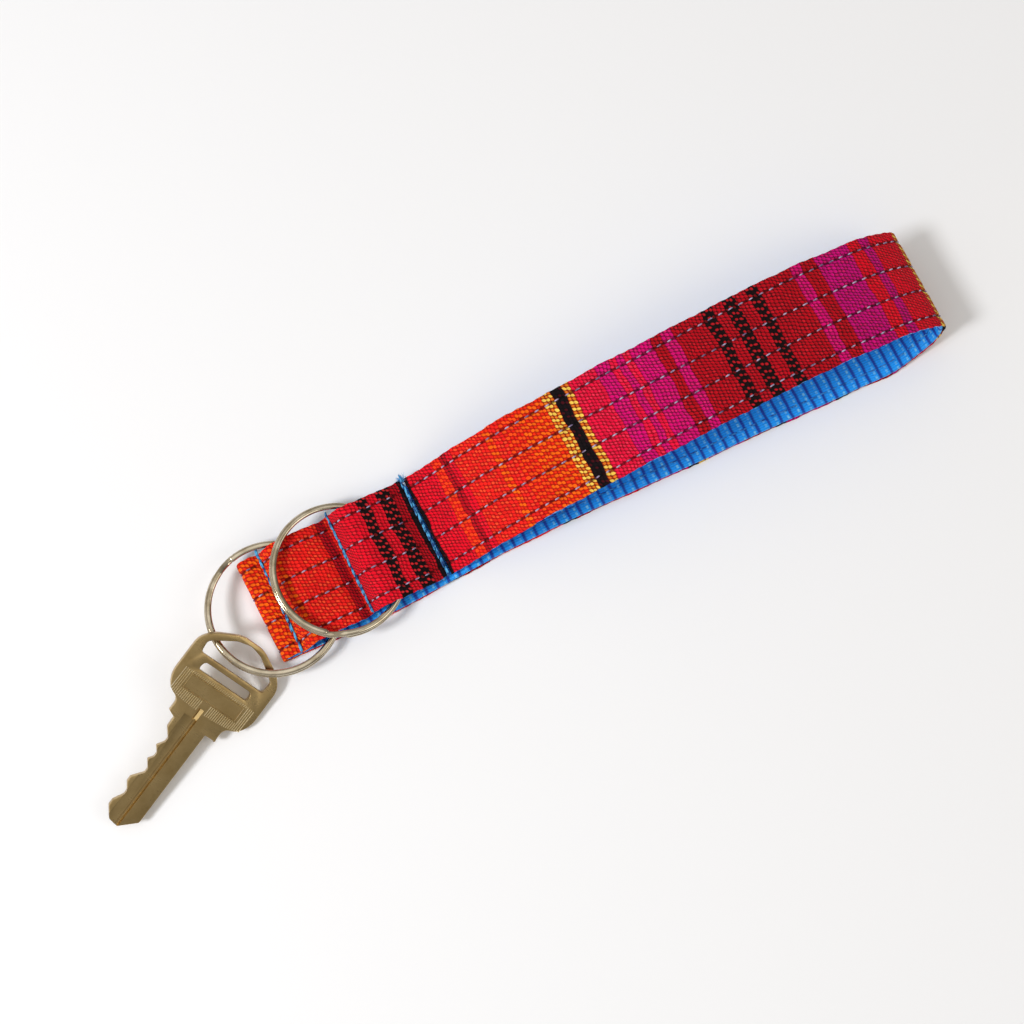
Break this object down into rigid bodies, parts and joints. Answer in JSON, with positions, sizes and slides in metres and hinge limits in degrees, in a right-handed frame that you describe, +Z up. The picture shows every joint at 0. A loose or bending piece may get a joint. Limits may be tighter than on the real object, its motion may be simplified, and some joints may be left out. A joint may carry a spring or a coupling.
{
  "type": "wristlet keychain",
  "caption": "Wristlet keychain: woven-covered webbing loop with a sewn two-pocket tab, split rings through the pockets and a house key on one ring.",
  "frame": {"origin": "on the underside of the lower layer, below the third cross seam, where the wrist loop starts", "axes": "+X along the strap towards the far end of the wrist loop, +Y across the strap, +Z up from the table"},
  "size_m": [0.2242, 0.0467, 0.0211],
  "materials": {
    "webbing": "ribbed synthetic webbing, blue",
    "woven_cover": "handwoven striped cotton, matte",
    "topstitch_thread": "grey lilac sewing thread",
    "bobbin_thread": "pale sewing thread",
    "seam_thread": "blue sewing thread",
    "ring_steel": "nickel plated, polished",
    "key_brass": "worn brass, satin"
  },
  "bodies": {
    "strap": {"webbing_strip": "webbing", "woven_cover": "woven_cover", "topstitch_thread_1": "topstitch_thread", "topstitch_thread_2": "topstitch_thread", "topstitch_thread_3": "topstitch_thread", "topstitch_thread_4": "topstitch_thread", "bobbin_thread_1": "bobbin_thread", "bobbin_thread_2": "bobbin_thread", "bobbin_thread_3": "bobbin_thread", "bobbin_thread_4": "bobbin_thread", "cross_seam_thread_1": "seam_thread", "cross_seam_thread_2": "seam_thread", "cross_seam_thread_3": "seam_thread"},
    "key_ring": {"key_split_ring": "ring_steel"},
    "spare_ring": {"spare_split_ring": "ring_steel"},
    "key": {"house_key": "key_brass"}
  },
  "joints": [
    {"name": "key_ring_turn", "type": "hinge", "parent": "strap", "child": "key_ring", "pos_m": [-0.0399, -0.0009, 0.00478], "axis": [-0.1149, 0, -0.9934], "range_deg": [0, 74]},
    {"name": "spare_ring_turn", "type": "hinge", "parent": "strap", "child": "spare_ring", "pos_m": [-0.0225, 0, 0.0066], "axis": [0.23, 0, 0.9732], "continuous": true},
    {"name": "key_swing", "type": "hinge", "parent": "key_ring", "child": "key", "pos_m": [-0.0528, -0.0087, 0.00627], "axis": [-0.5116, 0.8572, 0.0592], "range_deg": [0, 28]}
  ]
}
